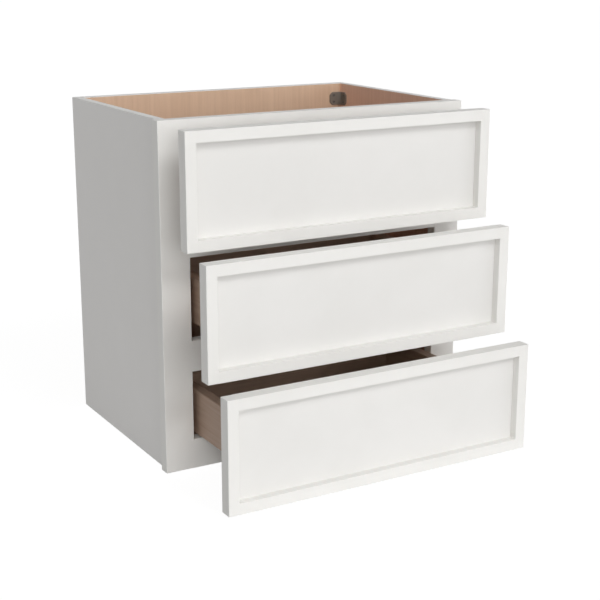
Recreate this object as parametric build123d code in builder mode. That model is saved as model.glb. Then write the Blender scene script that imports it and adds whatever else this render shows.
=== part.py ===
from build123d import *
import os
from math import radians, tan

# Vanity drawer base cabinet: a face-framed case with three drawers, each standing part open.
# X runs to the right, Y to the back and Z up. The origin is the centre of the footprint.
# All sizes are in millimetres.

# Case
case_width = 762.0
case_height = 762.0
case_depth = 508.0
drawer_count = 3
side_thickness = 19.0
back_thickness = 27.0
floor_thickness = 16.0
dado_depth = 9.0

# Face frame
frame_thickness = 27.0
frame_overhang = 10.0        # the stiles stand out this far beside the case sides
stile_width = 66.7
end_rail_width = 66.7
middle_rail_width = 68.4
tenon_length = 14.0
tenon_thickness = 9.0
tenon_shoulder = 10.0

# Drawer fronts: narrow stiles and rails around a deep recessed panel
front_side_margin = 7.0
front_base_margin = 7.7
front_top_margin = 8.4
front_gap = 6.6
front_thickness = 30.5
front_member_width = 24.5
recess_depth = 18.5
tongue_thickness = 6.0
tongue_length = 8.0
pullout_step = 83.6          # each drawer stands this much further out than the one above it

# Drawer boxes
box_side_gap = 13.8          # beside the box, in the opening of the face frame
box_head_gap = 21.8          # above the top drawer's box, in its opening
box_overhang = 50.0          # depth of the box beyond its slides
box_thickness = 25.0
bottom_thickness = 9.0
bottom_recess = 6.5
groove_depth = 8.0
tail_count = 4
tail_share = 0.74            # tail width at its end, as a share of the pitch
tail_slope = 9.0             # degrees

# Full-extension slides that lie flat under the drawer bottoms
slide_length = 356.0
slide_width = 45.7
slide_height = 13.4
sheet = 1.2
slide_setback = 1.0          # behind the face frame
slide_side_gap = 1.5         # beside the drawer box side
seat_drop = 0.7              # the lowest slides' seat, below the top of the bottom rail
slide_hole_margin = 30.0
slide_hole_count = 3
bend_cut = 1.6               # each bend of the sheet is drawn as one slanted face
lip_length = 3.0
middle_width = 33.0
inner_width = 22.0
strip_length = 150.0
strip_height = 5.0
runner_width = 48.0
runner_height = 62.0

# Small parts
bumper_diameter = 10.0
bumper_thickness = 2.0
bumper_facets = 16
bumper_inset = 13.0
bracket_wing = 32.0
bracket_height = 33.0
bracket_thickness = 3.0
bracket_chamfer = 7.0
bracket_web = 6.0
bracket_drop = 21.8          # below the top of the case
screw_diameter = 4.0
screw_head = 6.4
screw_facets = 8             # the many small screws are drawn with few faces
case_screw_length = 14.0
front_screw_inset = 108.0    # from the side of the box
screw_tip_cover = 2.5        # wood left in front of a screw's tip
wall_hole_diameter = 5.5
wall_hole_spacing = 406.4
wall_hole_rise = 510.0
wall_hole_base = 130.0

# Clearances
cut_margin = 1.0             # how far a cut runs past the face that it opens
fit_gap = 0.05
groove_gap = 0.1
run_gap = 0.4
strip_gap = 0.3

# Worked out from the sizes above
pullouts = [pullout_step * (index + 1) for index in range(drawer_count)]
half_width = case_width / 2
frame_y = -(case_depth - pullouts[-1] - front_thickness) / 2
frame_back_y = frame_y + frame_thickness
case_back_y = frame_y + case_depth
back_front_y = case_back_y - back_thickness
side_half = half_width - frame_overhang
inner_half = side_half - side_thickness
opening_half = half_width - stile_width
front_width = case_width - 2 * front_side_margin
front_room = case_height - front_base_margin - front_top_margin
front_height = (front_room - (drawer_count - 1) * front_gap) / drawer_count
front_pitch = front_height + front_gap
panel_thickness = front_thickness - recess_depth
frame_room = case_height - 2 * end_rail_width - (drawer_count - 1) * middle_rail_width
end_opening_height = (frame_room - (drawer_count - 2) * (front_pitch - middle_rail_width)) / 2
floor_top = end_rail_width - seat_drop
box_half = opening_half - box_side_gap
box_depth = slide_length + box_overhang
slide_x = box_half - box_thickness - slide_side_gap - slide_width / 2
slide_front_y = frame_back_y + slide_setback
screw_shank = screw_diameter / 2
screw_head_depth = screw_head / 2 - screw_shank
front_screw_length = box_thickness + panel_thickness - screw_tip_cover
slide_screw_length = sheet + bottom_thickness - screw_tip_cover


def rise(index):
    """How far a drawer lies above the lowest one; drawer 0 is the top one."""
    return (drawer_count - 1 - index) * front_pitch


def drawer_base(index):
    """Height of the lower edge of a drawer front."""
    return front_base_margin + rise(index)


def slide_seat(index):
    """Height of the surface that carries a drawer's slides."""
    return floor_top + rise(index)


def box_base(index):
    """Height of the lower edge of a drawer box."""
    return slide_seat(index) + slide_height - bottom_recess


box_height = case_height - end_rail_width - box_head_gap - box_base(0)


def extension(index):
    """How far a drawer stands out from its closed place, where its bumpers touch the frame."""
    return pullouts[index] - bumper_thickness


def fill(x_span, y_span, z_span, mode=Mode.ADD):
    """Adds or cuts the block between three pairs of limits."""
    spans = (x_span, y_span, z_span)
    with Locations(tuple((low + high) / 2 for low, high in spans)):
        Box(*(abs(high - low) for low, high in spans), mode=mode)


def mirrored(side, near, far):
    """The span between two distances from the centre plane, on the left or the right side."""
    return tuple(sorted((side * near, side * far)))


# Screws

def flat_screw(length, gap=0.0):
    """A countersunk screw along -Z with its head's face at z = 0, or its hole where gap is set."""
    with BuildPart() as screw:
        for height, radius in ((0, screw_head / 2), (-screw_head_depth, screw_shank)):
            with BuildSketch(Plane.XY.offset(height)) as ring:
                RegularPolygon(radius + gap, screw_facets)
        loft(ruled=True)
        with BuildSketch(Plane.XY.offset(-screw_head_depth)) as shank:
            RegularPolygon(screw_shank + gap, screw_facets)
        extrude(amount=screw_head_depth - length - gap)
    return screw.part


case_screw = flat_screw(case_screw_length)
case_screw_hole = flat_screw(case_screw_length, fit_gap)
front_screw = flat_screw(front_screw_length)
front_screw_hole = flat_screw(front_screw_length, fit_gap)
slide_screw = flat_screw(slide_screw_length)
slide_screw_hole = flat_screw(slide_screw_length, fit_gap)

head_to_left = (0, -90, 0)
head_to_right = (0, 90, 0)
head_to_front = (90, 0, 0)
head_to_back = (-90, 0, 0)
head_down = (180, 0, 0)


def bracket_screw_places():
    """Two screws in each wing of the four corner brackets, heads facing into the case."""
    places = []
    reach = bracket_thickness + bracket_web + (bracket_wing - bracket_thickness - bracket_web) / 2
    middle = case_height - bracket_drop - bracket_height / 2
    for side in (-1, 1):
        for wall_y, inward, turn in ((back_front_y, -1, head_to_front), (frame_back_y, 1, head_to_back)):
            for rise in (-bracket_height / 4, bracket_height / 4):
                side_turn = head_to_left if side > 0 else head_to_right
                side_x = side * (inner_half - bracket_thickness)
                places.append(Location((side_x, wall_y + inward * reach, middle + rise), side_turn))
                wall_x = side * (inner_half - reach)
                places.append(Location((wall_x, wall_y + inward * bracket_thickness, middle + rise), turn))
    return places


def slide_holes():
    """Distances of a slide's screws from its front end."""
    step = (slide_length - 2 * slide_hole_margin) / (slide_hole_count - 1)
    return [slide_hole_margin + step * number for number in range(slide_hole_count)]


def fixed_slide_places(index):
    """Screws down through the fixed members of one drawer's slides, flush with the sheet."""
    height = slide_seat(index) + sheet
    return [
        Location((side * slide_x, slide_front_y + along, height))
        for side in (-1, 1)
        for along in slide_holes()
    ]


def inner_slide_places(index):
    """Screws up through the inner members into the drawer bottom."""
    height = box_base(index) + bottom_recess - sheet
    return [
        Location((side * slide_x, slide_front_y - extension(index) + along, height), head_down)
        for side in (-1, 1)
        for along in slide_holes()
    ]


def front_screw_places(index):
    """Four screws through the box front into the drawer front's panel."""
    inside_y = frame_y - pullouts[index] + box_thickness
    low = box_base(index) + bottom_recess + bottom_thickness
    high = box_base(index) + box_height
    quarter = (high - low) / 4
    return [
        Location((side * (box_half - front_screw_inset), inside_y, height), head_to_back)
        for side in (-1, 1)
        for height in (low + quarter, high - quarter)
    ]


# Face frame

rail_spans = {
    "frame_rail_bottom": (0.0, end_rail_width),
    "frame_rail_top": (case_height - end_rail_width, case_height),
}
for rail_number in range(1, drawer_count):
    rail_base = end_rail_width + end_opening_height + (rail_number - 1) * front_pitch
    rail_spans[f"frame_rail_middle_{rail_number}"] = (rail_base, rail_base + middle_rail_width)


def tenon_block(z_span, side, gap, mode):
    """The tenon at one end of a rail, or its mortise where gap is set."""
    middle = frame_y + frame_thickness / 2
    reach = tenon_thickness / 2 + gap
    start = opening_half if gap == 0 else opening_half - cut_margin
    fill(
        mirrored(side, start, opening_half + tenon_length + 4 * gap),
        (middle - reach, middle + reach),
        (z_span[0] + tenon_shoulder - gap, z_span[1] - tenon_shoulder + gap),
        mode,
    )


def frame_stile(side):
    """An upright of the face frame, with a mortise for each rail and holes for the brackets."""
    with BuildPart() as stile:
        fill(mirrored(side, opening_half, half_width), (frame_y, frame_back_y), (0, case_height))
        for z_span in rail_spans.values():
            tenon_block(z_span, side, fit_gap, Mode.SUBTRACT)
        with Locations(*bracket_screw_places()):
            add(case_screw_hole, mode=Mode.SUBTRACT)
    return stile.part


def frame_rail(z_span):
    """A cross member of the face frame, with a tenon at each end."""
    with BuildPart() as rail:
        fill((-opening_half, opening_half), (frame_y, frame_back_y), z_span)
        for side in (-1, 1):
            tenon_block(z_span, side, 0, Mode.ADD)
    return rail.part


# Case panels

floor_half = inner_half + dado_depth - groove_gap


def side_panel(side):
    """A side of the case, with a dado for the floor."""
    with BuildPart() as panel:
        fill(mirrored(side, inner_half, side_half), (frame_back_y, case_back_y), (0, case_height))
        fill(
            mirrored(side, inner_half - cut_margin, inner_half + dado_depth),
            (frame_back_y, back_front_y),
            (floor_top - floor_thickness - groove_gap, floor_top + groove_gap),
            Mode.SUBTRACT,
        )
        with Locations(*bracket_screw_places()):
            add(case_screw_hole, mode=Mode.SUBTRACT)
    return panel.part


def back_panel():
    """The back, between the sides, with four holes for the wall screws."""
    with BuildPart() as panel:
        fill((-inner_half, inner_half), (back_front_y, case_back_y), (0, case_height))
        with Locations(Plane.XZ.offset(-case_back_y)):
            with Locations((0, wall_hole_base + wall_hole_rise / 2)):
                with GridLocations(wall_hole_spacing, wall_hole_rise, 2, 2):
                    Cylinder(wall_hole_diameter / 2, 3 * back_thickness, mode=Mode.SUBTRACT)
        with Locations(*bracket_screw_places()):
            add(case_screw_hole, mode=Mode.SUBTRACT)
    return panel.part


def floor_panel():
    """The floor of the case, which carries the lowest drawer's slides."""
    with BuildPart() as panel:
        fill((-floor_half, floor_half), (frame_back_y, back_front_y), (floor_top - floor_thickness, floor_top))
        with Locations(*fixed_slide_places(drawer_count - 1)):
            add(case_screw_hole, mode=Mode.SUBTRACT)
    return panel.part


def runners(index):
    """The two bars from the face frame to the back that carry a drawer's slides."""
    top = slide_seat(index)
    with BuildPart() as bars:
        for side in (-1, 1):
            fill(
                mirrored(side, slide_x - runner_width / 2, slide_x + runner_width / 2),
                (frame_back_y, back_front_y),
                (top - runner_height, top),
            )
        with Locations(*fixed_slide_places(index)):
            add(case_screw_hole, mode=Mode.SUBTRACT)
    return bars.part


def corner_bracket():
    """A two-winged bracket whose outer corner stands at the origin, wings along -X and -Y."""
    with BuildPart() as bracket:
        with BuildSketch(Plane.XY) as section:
            with BuildLine() as outline:
                Polyline(
                    (0, 0),
                    (-bracket_wing, 0),
                    (-bracket_wing, -bracket_thickness),
                    (-bracket_thickness - bracket_web, -bracket_thickness),
                    (-bracket_thickness, -bracket_thickness - bracket_web),
                    (-bracket_thickness, -bracket_wing),
                    (0, -bracket_wing),
                    close=True,
                )
            make_face()
        extrude(amount=bracket_height)
        for wing_axis, tip_axis in ((Axis.X, Axis.Y), (Axis.Y, Axis.X)):
            corners = bracket.edges().filter_by(tip_axis)
            tips = corners.filter_by(lambda edge: abs(edge.length - bracket_thickness) < 0.01)
            chamfer(tips.group_by(wing_axis)[0], bracket_chamfer)
    return bracket.part


def corner_brackets():
    """The four brackets high in the corners of the case."""
    base = case_height - bracket_drop - bracket_height
    blank = corner_bracket()
    with BuildPart() as brackets:
        for side in (-1, 1):
            for wall_y, inward in ((back_front_y, -1), (frame_back_y, 1)):
                piece = blank
                if side < 0:
                    piece = mirror(piece, about=Plane.YZ, mode=Mode.PRIVATE)
                if inward > 0:
                    piece = mirror(piece, about=Plane.XZ, mode=Mode.PRIVATE)
                with Locations((side * inner_half, wall_y, base)):
                    add(piece)
        with Locations(*bracket_screw_places()):
            add(case_screw_hole, mode=Mode.SUBTRACT)
    return brackets.part


def case_screws():
    """The screws of the corner brackets and of the fixed slide members."""
    places = bracket_screw_places()
    for index in range(drawer_count):
        places += fixed_slide_places(index)
    with BuildPart() as screws:
        with Locations(*places):
            add(case_screw)
    return screws.part


# Drawer fronts

front_half = front_width / 2
member_inner = front_half - front_member_width
tongue_start = recess_depth
tongue_end = recess_depth + tongue_thickness


def front_face_y(index):
    """The outer face of a drawer front."""
    return frame_y - pullouts[index] - front_thickness


def tongue_span(index, gap=0.0):
    """The depth that the grooves of a drawer front share with its tongues."""
    face = front_face_y(index)
    return (face + tongue_start - gap, face + tongue_end + gap)


def front_stile(index, side):
    """An upright of a drawer front, grooved for the panel and the rails."""
    base = drawer_base(index)
    with BuildPart() as stile:
        fill(
            mirrored(side, member_inner, front_half),
            (front_face_y(index), frame_y - pullouts[index]),
            (base, base + front_height),
        )
        fill(
            mirrored(side, member_inner - cut_margin, member_inner + tongue_length),
            tongue_span(index, fit_gap),
            (base - cut_margin, base + front_height + cut_margin),
            Mode.SUBTRACT,
        )
    return stile.part


def front_rail(index, end):
    """A cross member of a drawer front; end is -1 for the lower one and 1 for the upper one."""
    base = drawer_base(index)
    inner = base + front_member_width if end < 0 else base + front_height - front_member_width
    outer = base if end < 0 else base + front_height
    tongue_half = member_inner + tongue_length - groove_gap
    with BuildPart() as rail:
        fill(
            (-member_inner, member_inner),
            (front_face_y(index), frame_y - pullouts[index]),
            (min(inner, outer), max(inner, outer)),
        )
        fill((-tongue_half, tongue_half), tongue_span(index), (min(inner, outer), max(inner, outer)))
        fill(
            (-half_width, half_width),
            tongue_span(index, fit_gap),
            (inner + end * tongue_length, inner - end * cut_margin),
            Mode.SUBTRACT,
        )
    return rail.part


def front_panel(index):
    """The recessed panel of a drawer front, whose back lies flush with the frame around it."""
    base = drawer_base(index)
    low = base + front_member_width + groove_gap
    high = base + front_height - front_member_width - groove_gap
    half = member_inner - groove_gap
    reach = tongue_length - 2 * groove_gap
    face = front_face_y(index)
    with BuildPart() as panel:
        fill((-half, half), (face + recess_depth, frame_y - pullouts[index]), (low, high))
        fill((-half - reach, half + reach), tongue_span(index), (low - reach, high + reach))
        with Locations(*front_screw_places(index)):
            add(front_screw_hole, mode=Mode.SUBTRACT)
    return panel.part


def bumpers(index):
    """Four round pads on the back of a drawer front."""
    base = drawer_base(index)
    with BuildPart() as pads:
        with BuildSketch(Plane.XZ.offset(-(frame_y - pullouts[index]))) as faces:
            with Locations((0, base + front_height / 2)):
                with GridLocations(front_width - 2 * bumper_inset, front_height - 2 * bumper_inset, 2, 2):
                    RegularPolygon(bumper_diameter / 2, bumper_facets)
        extrude(amount=-bumper_thickness)
    return pads.part


# Drawer boxes

groove_half = box_half - box_thickness + groove_depth


def box_front_y(index):
    """The front face of a drawer box, against the back of its drawer front."""
    return frame_y - pullouts[index]


def bottom_span(index, gap=0.0):
    """The heights that the bottom takes up."""
    low = box_base(index) + bottom_recess
    return (low - gap, low + bottom_thickness + gap)


def tail_outlines(end_y, inward, z_low, z_high, gap=0.0):
    """Corner points of the dovetails at one end of a box side, as lists of (y, z)."""
    pitch = (z_high - z_low) / tail_count
    wide = pitch * tail_share / 2 + gap
    narrow = wide - box_thickness * tan(radians(tail_slope))
    base_y = end_y + inward * (box_thickness + gap)
    outlines = []
    for number in range(tail_count):
        middle = z_low + pitch * (number + 0.5)
        outlines.append([
            (end_y, middle - wide),
            (end_y, middle + wide),
            (base_y, middle + narrow),
            (base_y, middle - narrow),
        ])
    return outlines


def end_joints(index):
    """The two dovetailed ends of a box: end, inward direction and the heights of the joint."""
    top = box_base(index) + box_height
    return (
        (box_front_y(index), 1, box_base(index), top),
        (box_front_y(index) + box_depth, -1, bottom_span(index)[1], top),
    )


def box_side(index, side):
    """A side of a drawer box: tails at both ends and a groove that is open at the rear."""
    span = mirrored(side, box_half - box_thickness, box_half)
    top = box_base(index) + box_height
    with BuildPart() as board:
        fill(span, (box_front_y(index), box_front_y(index) + box_depth), (box_base(index), top))
        for end_y, inward, z_low, z_high in end_joints(index):
            fill(span, (end_y, end_y + inward * box_thickness), (z_low, z_high), Mode.SUBTRACT)
            with BuildSketch(Plane.YZ.offset(span[0])) as tails:
                for outline in tail_outlines(end_y, inward, z_low, z_high):
                    Polygon(*outline, align=None)
            extrude(amount=box_thickness)
        fill(
            mirrored(side, groove_half - groove_depth - cut_margin, groove_half),
            (box_front_y(index) + box_thickness - groove_depth, box_front_y(index) + box_depth + cut_margin),
            bottom_span(index, fit_gap),
            Mode.SUBTRACT,
        )
    return board.part


def box_end(index, end):
    """The front (end 0) or the back (end 1) of a drawer box, with sockets for the tails."""
    end_y, inward, z_low, z_high = end_joints(index)[end]
    with BuildPart() as board:
        fill((-box_half, box_half), (end_y, end_y + inward * box_thickness), (z_low, z_high))
        for side in (-1, 1):
            span = mirrored(side, box_half - box_thickness, box_half)
            with BuildSketch(Plane.YZ.offset(span[0])) as sockets:
                for outline in tail_outlines(end_y, inward, z_low, z_high, fit_gap):
                    Polygon(*outline, align=None)
            extrude(amount=box_thickness, mode=Mode.SUBTRACT)
        if end == 0:
            fill(
                (-groove_half, groove_half),
                (end_y + box_thickness - groove_depth, end_y + box_thickness + cut_margin),
                bottom_span(index, fit_gap),
                Mode.SUBTRACT,
            )
            with Locations(*front_screw_places(index)):
                add(front_screw_hole, mode=Mode.SUBTRACT)
    return board.part


def box_bottom(index):
    """The bottom, which slides into its grooves from the rear, under the back."""
    half = groove_half - groove_gap
    start = box_front_y(index) + box_thickness - groove_depth + groove_gap
    with BuildPart() as panel:
        fill((-half, half), (start, box_front_y(index) + box_depth), bottom_span(index))
        with Locations(*inner_slide_places(index)):
            add(slide_screw_hole, mode=Mode.SUBTRACT)
    return panel.part


# Slides

def channel_section(width, web, tip, lip=0.0):
    """Corner points of a bent channel's outer face, from the right leg's tip to the left one's."""
    half = width / 2
    up = 1 if tip > web else -1
    right = [(half, web + up * bend_cut), (half - bend_cut, web)]
    if lip:
        right = [(half - lip, tip), (half - bend_cut, tip), (half, tip - up * bend_cut)] + right
    else:
        right.insert(0, (half, tip))
    return right + [(-x, z) for x, z in reversed(right)]


def channel(side, y_low, height, corners, inward):
    """A slide member: a bent sheet of constant section along Y."""
    with BuildPart() as member:
        with BuildSketch(Plane.XZ.offset(-y_low)) as section:
            with BuildLine() as path:
                Polyline(*[(side * slide_x + x, height + z) for x, z in corners])
                offset(amount=sheet, side=inward)
            make_face()
        extrude(amount=-slide_length)
    return member.part


def strips(near, far, y_low, z_low):
    """Nylon bearing strips along both legs of both slides of a drawer."""
    for side in (-1, 1):
        for leg in (-1, 1):
            edges = sorted((side * slide_x + leg * near, side * slide_x + leg * far))
            fill(edges, (y_low, y_low + strip_length), (z_low, z_low + strip_height))


strip_rise = (slide_height - strip_height) / 2


def slide_fixed(index):
    """The fixed members of a drawer's slides, screwed to what carries them."""
    seat = slide_seat(index)
    section = channel_section(slide_width, 0, slide_height - sheet - run_gap, lip_length)
    pieces = [channel(side, slide_front_y, seat, section, Side.RIGHT) for side in (-1, 1)]
    with BuildPart() as members:
        add(pieces)
        strips(slide_width / 2 - sheet, middle_width / 2 + strip_gap, slide_front_y, seat + strip_rise)
        with Locations(*fixed_slide_places(index)):
            add(case_screw_hole, mode=Mode.SUBTRACT)
    return members.part


def slide_middle(index):
    """The middle members, which run out half as far as the drawer."""
    start = slide_front_y - extension(index) / 2
    seat = slide_seat(index)
    section = channel_section(middle_width, sheet + run_gap, slide_height - sheet - run_gap)
    pieces = [channel(side, start, seat, section, Side.RIGHT) for side in (-1, 1)]
    with BuildPart() as members:
        add(pieces)
        strips(middle_width / 2 - sheet, inner_width / 2 + strip_gap, start, seat + strip_rise)
    return members.part


def slide_inner(index):
    """The inner members, which are screwed under the drawer bottom."""
    start = slide_front_y - extension(index)
    seat = slide_seat(index)
    section = channel_section(inner_width, slide_height, 2 * sheet + 2 * run_gap)
    pieces = [channel(side, start, seat, section, Side.LEFT) for side in (-1, 1)]
    with BuildPart() as members:
        add(pieces)
        with Locations(*inner_slide_places(index)):
            add(slide_screw_hole, mode=Mode.SUBTRACT)
    return members.part


def drawer_screws(index):
    """The screws that hold a drawer's front and its slides to the box."""
    with BuildPart() as screws:
        with Locations(*front_screw_places(index)):
            add(front_screw)
        with Locations(*inner_slide_places(index)):
            add(slide_screw)
    return screws.part


# Assembly

def case_parts():
    """Every piece of the case, by name."""
    parts = {
        "frame_stile_left": frame_stile(-1),
        "frame_stile_right": frame_stile(1),
        "side_left": side_panel(-1),
        "side_right": side_panel(1),
        "back_panel": back_panel(),
        "floor_panel": floor_panel(),
        "corner_brackets": corner_brackets(),
        "case_screws": case_screws(),
    }
    for name, z_span in rail_spans.items():
        parts[name] = frame_rail(z_span)
    for index in range(drawer_count - 1):
        parts[f"drawer_{index + 1}_runners"] = runners(index)
    return parts


def drawer_parts(index):
    """Every piece of one drawer and of its slides, by name."""
    parts = {
        "front_stile_left": front_stile(index, -1),
        "front_stile_right": front_stile(index, 1),
        "front_rail_bottom": front_rail(index, -1),
        "front_rail_top": front_rail(index, 1),
        "front_panel": front_panel(index),
        "bumpers": bumpers(index),
        "box_left": box_side(index, -1),
        "box_right": box_side(index, 1),
        "box_front": box_end(index, 0),
        "box_back": box_end(index, 1),
        "box_bottom": box_bottom(index),
        "slide_fixed": slide_fixed(index),
        "slide_middle": slide_middle(index),
        "slide_inner": slide_inner(index),
        "screws": drawer_screws(index),
    }
    return {f"drawer_{index + 1}_{name}": part for name, part in parts.items()}


cabinet = case_parts()
for drawer_index in range(drawer_count):
    cabinet.update(drawer_parts(drawer_index))

os.makedirs("parts", exist_ok=True)
for part_name, part in cabinet.items():
    part.label = part_name
    export_step(part, f"parts/{part_name}.step")
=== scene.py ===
"""Vanity drawer base cabinet: eased boards, hardware, finishes, light and camera."""

import logging
from collections.abc import Callable, Iterable
from dataclasses import dataclass, field
from enum import Enum
from math import cos, pi, radians, sin

import bmesh
import bpy
from mathutils import Matrix, Vector


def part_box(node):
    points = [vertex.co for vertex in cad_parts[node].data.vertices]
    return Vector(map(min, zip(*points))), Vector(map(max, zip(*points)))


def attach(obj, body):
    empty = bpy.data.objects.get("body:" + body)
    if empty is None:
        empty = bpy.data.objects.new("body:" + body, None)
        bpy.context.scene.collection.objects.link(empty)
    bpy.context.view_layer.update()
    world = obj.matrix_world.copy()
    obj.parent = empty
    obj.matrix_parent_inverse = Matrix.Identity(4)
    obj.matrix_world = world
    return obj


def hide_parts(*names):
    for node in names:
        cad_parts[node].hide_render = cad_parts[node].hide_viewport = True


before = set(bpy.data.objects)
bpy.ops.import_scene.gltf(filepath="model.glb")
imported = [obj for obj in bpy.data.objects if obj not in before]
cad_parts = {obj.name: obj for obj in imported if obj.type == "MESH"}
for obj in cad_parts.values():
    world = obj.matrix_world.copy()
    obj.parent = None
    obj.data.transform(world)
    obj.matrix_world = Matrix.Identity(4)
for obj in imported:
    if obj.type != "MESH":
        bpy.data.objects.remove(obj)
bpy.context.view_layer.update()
log = logging.getLogger("vanity_cabinet")

Socket = bpy.types.NodeSocket
Tree = bpy.types.NodeTree
Material = bpy.types.Material
Edge = bmesh.types.BMEdge
Face = bmesh.types.BMFace
Colour = tuple[float, float, float]    # as a screen shows it, 0 to 1
Scale = tuple[float, float, float]     # features per metre along X, Y and Z
Value = Socket | float | tuple[float, ...]

DRAWERS = (1, 2, 3)
SIDES = {"left": -1, "right": 1}
EDGE = "edge"      # attribute that marks eased edges
BOARD = "board"    # attribute that sets a board's grain apart

# Tolerances in metres, and the least share of a length or a normal that counts as lying along it
SAME_SPOT = 1e-6
ON_BOX = 1e-5
FLUSH = 1e-4
AT_FACE = 1e-3
ALONG = 0.9

# Wood figure, with the grain along X
BOARD_STEP = (1.7, 0.9, 1.3)
CLOUD_SCALE = (0.9, 9.0, 9.0)
STREAK_SCALE = (2.2, 95.0, 95.0)
FIBRE_SCALE = (14.0, 900.0, 900.0)
PORE_SCALE = (70.0, 1500.0, 1500.0)
BROAD_SCALE = (0.8, 3.5, 3.5)
RINGS_PER_CLOUD = 11.0

# Skins and cut faces
PEEL_SCALE = (420.0,) * 3
MOTTLE_SCALE = (7.0,) * 3
MARK_SCALE = (38.0, 60.0, 24.0)
WEAR_SCALE = (26.0,) * 3
CUT_SCALE = (160.0, 160.0, 420.0)
SPECK_SCALE = (2200.0,) * 3
FLECK_SCALE = (300.0,) * 3
PLY_WANDER_SCALE = (9.0,) * 3


class Axis(Enum):
    """A direction of the cabinet's frame."""

    X = 0
    Y = 1
    Z = 2

    @property
    def unit(self) -> Vector:
        """The unit vector of this axis."""
        return Vector([float(self.value == place) for place in range(3)])


class Skin(Enum):
    """Where a face of a board gets its finish from."""

    FACE = 0
    INSIDE = 1
    END = 2


def linear(colour: Colour) -> tuple[float, ...]:
    """Turns a colour into the four linear values that a shader takes."""
    parts = [part / 12.92 if part <= 0.04045 else ((part + 0.055) / 1.055) ** 2.4 for part in colour]
    return (*parts, 1.0)


# Shader groups


class GroupMaker:
    """Builds one shader node group: its sockets, its nodes and the links between them."""

    def __init__(self, name: str) -> None:
        """Starts an empty group of this name."""
        self.tree = bpy.data.node_groups.new(name, "ShaderNodeTree")
        self.source = self.tree.nodes.new("NodeGroupInput")
        self.result = self.tree.nodes.new("NodeGroupOutput")

    def socket_in(self, name: str, value: float | None = None) -> Socket:
        """Adds an input, for a coordinate unless it has a usual value, and returns its socket."""
        kind = "NodeSocketVector" if value is None else "NodeSocketFloat"
        item = self.tree.interface.new_socket(name, in_out="INPUT", socket_type=kind)
        if value is not None:
            item.default_value = value
        return self.source.outputs[name]

    def socket_out(self, name: str, value: Socket) -> None:
        """Adds a number output that is fed by a socket."""
        self.tree.interface.new_socket(name, in_out="OUTPUT", socket_type="NodeSocketFloat")
        self.tree.links.new(value, self.result.inputs[name])


def plug(tree: Tree, socket: Socket, value: Value) -> None:
    """Links an input to another node's socket, or writes a value into it."""
    if isinstance(value, Socket):
        tree.links.new(value, socket)
    else:
        socket.default_value = value


def add_node(tree: Tree, kind: str, inputs: dict[str | int, Value], **settings: str | Tree) -> bpy.types.Node:
    """Adds a shader node.

    Args:
        tree: the tree that gets it.
        kind: its kind.
        inputs: what each of its inputs gets.
        settings: its own settings.

    Returns:
        The node.
    """
    node = tree.nodes.new(f"ShaderNode{kind}")
    for name, setting in settings.items():
        setattr(node, name, setting)
    for name, value in inputs.items():
        plug(tree, node.inputs[name], value)
    return node


def combine(tree: Tree, kind: str, first: Socket | float, second: Socket | float) -> Socket:
    """Works out one number from two, each a socket or a number."""
    return add_node(tree, "Math", {0: first, 1: second}, operation=kind).outputs[0]


def total(tree: Tree, *parts: tuple[Socket, float]) -> Socket:
    """Adds up sockets, each times its own share."""
    terms = [combine(tree, "MULTIPLY", value, share) for value, share in parts]
    result = terms[0]
    for term in terms[1:]:
        result = combine(tree, "ADD", result, term)
    return result


def noise(tree: Tree, place: Socket, scale: Scale, detail: float = 3.0, warp: float = 0.0) -> Socket:
    """Adds a noise texture over a stretched coordinate.

    Args:
        tree: the tree that gets the nodes.
        place: the coordinate in metres.
        scale: features per metre along each axis.
        detail: octaves of the noise.
        warp: how far the noise distorts itself.

    Returns:
        A value about 0.5.
    """
    spot = add_node(tree, "VectorMath", {0: place, 1: scale}, operation="MULTIPLY").outputs[0]
    inputs = {"Vector": spot, "Scale": 1.0, "Detail": detail, "Distortion": warp}
    return add_node(tree, "TexNoise", inputs).outputs["Fac"]


def remap(tree: Tree, value: Socket, low: float, high: float, start: float = 0.0, end: float = 1.0) -> Socket:
    """Maps the range low to high onto start to end, without going past them."""
    inputs = {"Value": value, "From Min": low, "From Max": high, "To Min": start, "To Max": end}
    return add_node(tree, "MapRange", inputs).outputs["Result"]


def blend(tree: Tree, share: Socket, first: Socket | Colour, second: Socket | Colour) -> Socket:
    """Mixes two colours, each a socket or a tuple, by a share from 0 to 1."""
    node = add_node(tree, "Mix", {"Factor": share}, data_type="RGBA")
    sockets = [socket for socket in node.inputs if socket.type == "RGBA"]
    for socket, value in zip(sockets, (first, second)):
        plug(tree, socket, linear(value) if isinstance(value, tuple) else value)
    return next(socket for socket in node.outputs if socket.type == "RGBA")


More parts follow.
